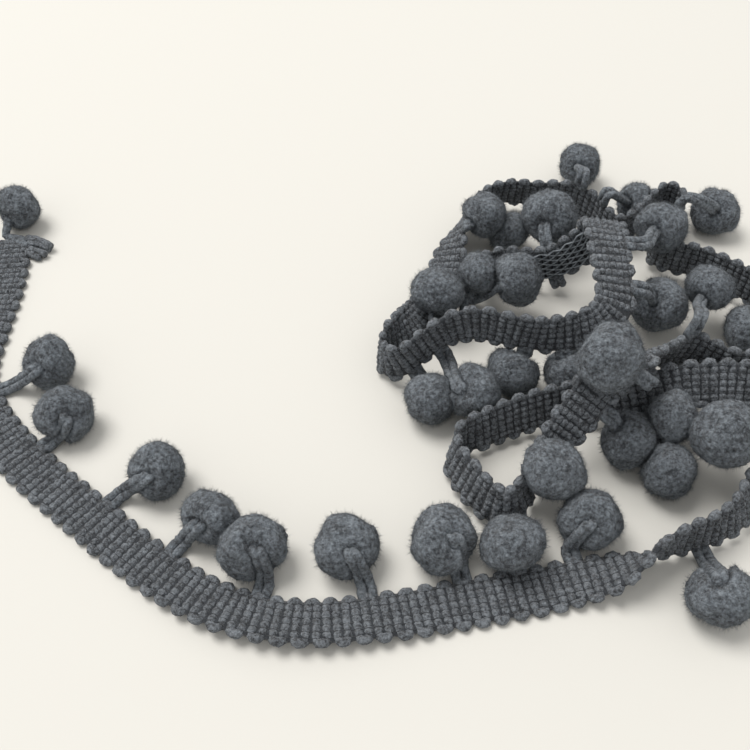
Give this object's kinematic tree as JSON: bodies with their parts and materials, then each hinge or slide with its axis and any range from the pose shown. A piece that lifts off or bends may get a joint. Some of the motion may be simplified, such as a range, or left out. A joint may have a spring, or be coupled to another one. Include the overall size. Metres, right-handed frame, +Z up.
{
  "type": "pompom fringe trim",
  "caption": "Knitted grey tape with scalloped edges and a fringe of fuzzy pompoms on doubled cord loops, lying in an open bow and a loose heap",
  "frame": {"origin": "middle of the trim's box, on the surface that it lies on", "axes": "+X along the open bow to the heap, +Y from the bow towards the back of the heap, +Z up"},
  "size_m": [0.2004, 0.146, 0.0344],
  "materials": {
    "tape_yarn": "matt knitted yarn",
    "pompom_wool": "matt felted fibre"
  },
  "bodies": {
    "root": {"tape": "tape_yarn", "pompom_01": "pompom_wool", "pompom_02": "pompom_wool", "pompom_03": "pompom_wool", "pompom_04": "pompom_wool", "pompom_05": "pompom_wool", "pompom_06": "pompom_wool", "pompom_07": "pompom_wool", "pompom_08": "pompom_wool", "pompom_09": "pompom_wool", "pompom_10": "pompom_wool", "pompom_11": "pompom_wool", "pompom_12": "pompom_wool", "pompom_13": "pompom_wool", "pompom_14": "pompom_wool", "pompom_15": "pompom_wool", "pompom_16": "pompom_wool", "pompom_17": "pompom_wool", "pompom_18": "pompom_wool", "pompom_19": "pompom_wool", "pompom_20": "pompom_wool", "pompom_21": "pompom_wool", "pompom_22": "pompom_wool", "pompom_23": "pompom_wool", "pompom_24": "pompom_wool", "pompom_25": "pompom_wool", "pompom_26": "pompom_wool", "pompom_27": "pompom_wool", "pompom_28": "pompom_wool", "pompom_29": "pompom_wool", "pompom_30": "pompom_wool", "pompom_31": "pompom_wool", "pompom_32": "pompom_wool", "pompom_33": "pompom_wool", "pompom_34": "pompom_wool"}
  },
  "joints": []
}
